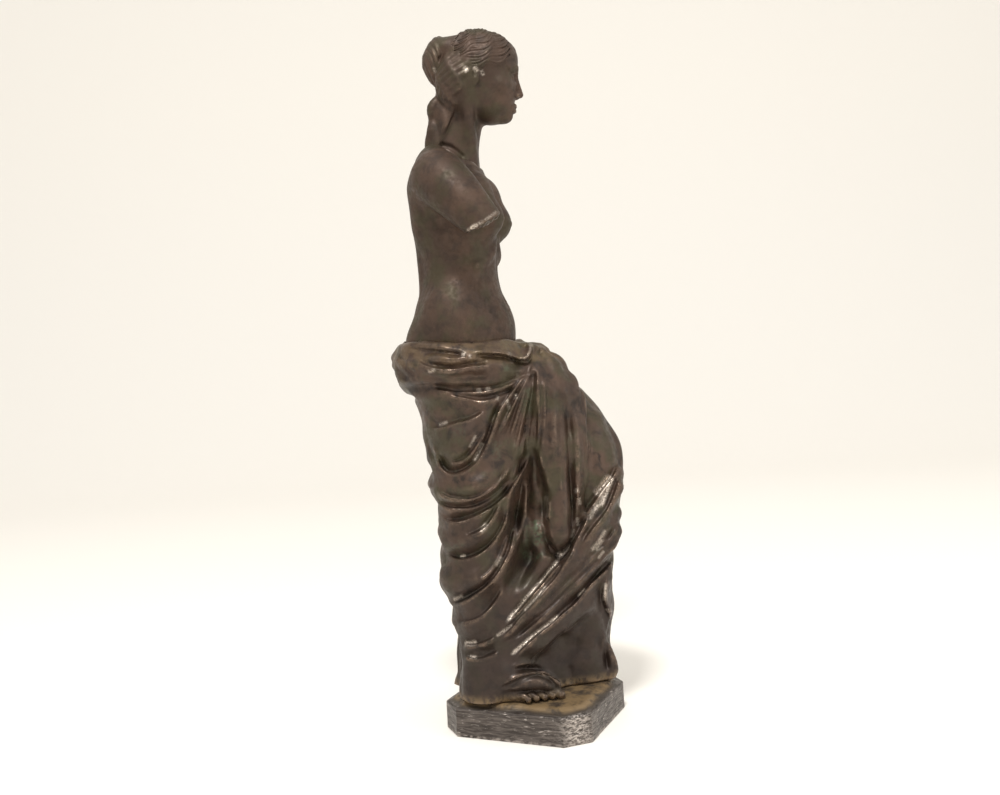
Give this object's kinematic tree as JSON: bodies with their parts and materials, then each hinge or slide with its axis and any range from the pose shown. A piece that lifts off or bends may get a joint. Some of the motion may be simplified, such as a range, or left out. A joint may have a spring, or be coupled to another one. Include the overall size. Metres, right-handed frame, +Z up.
{
  "type": "bronze statuette",
  "caption": "Draped standing classical figure with bare torso and broken arms on a low eight-sided plinth, a free-standing cabinet bronze.",
  "frame": {"origin": "middle of the plinth's flat underside", "axes": "+Z up along the figure's height; the plinth's front edge and the figure's hips face -Y, and the figure's right side is -X"},
  "size_m": [0.0414, 0.0499, 0.16],
  "materials": {
    "patinated_bronze": "dark brown patina, satin, rubbed to dull metal on edges",
    "brass_fixing": "unpolished",
    "steel_fixing": "darkened"
  },
  "bodies": {
    "root": {"plinth": "patinated_bronze", "draped_legs": "patinated_bronze", "torso": "patinated_bronze", "head": "patinated_bronze", "waist_pins": "brass_fixing", "neck_pin": "brass_fixing", "bridge_bar": "brass_fixing", "plinth_screw": "steel_fixing", "screw_washer": "brass_fixing", "locating_dowels": "brass_fixing"}
  },
  "joints": []
}
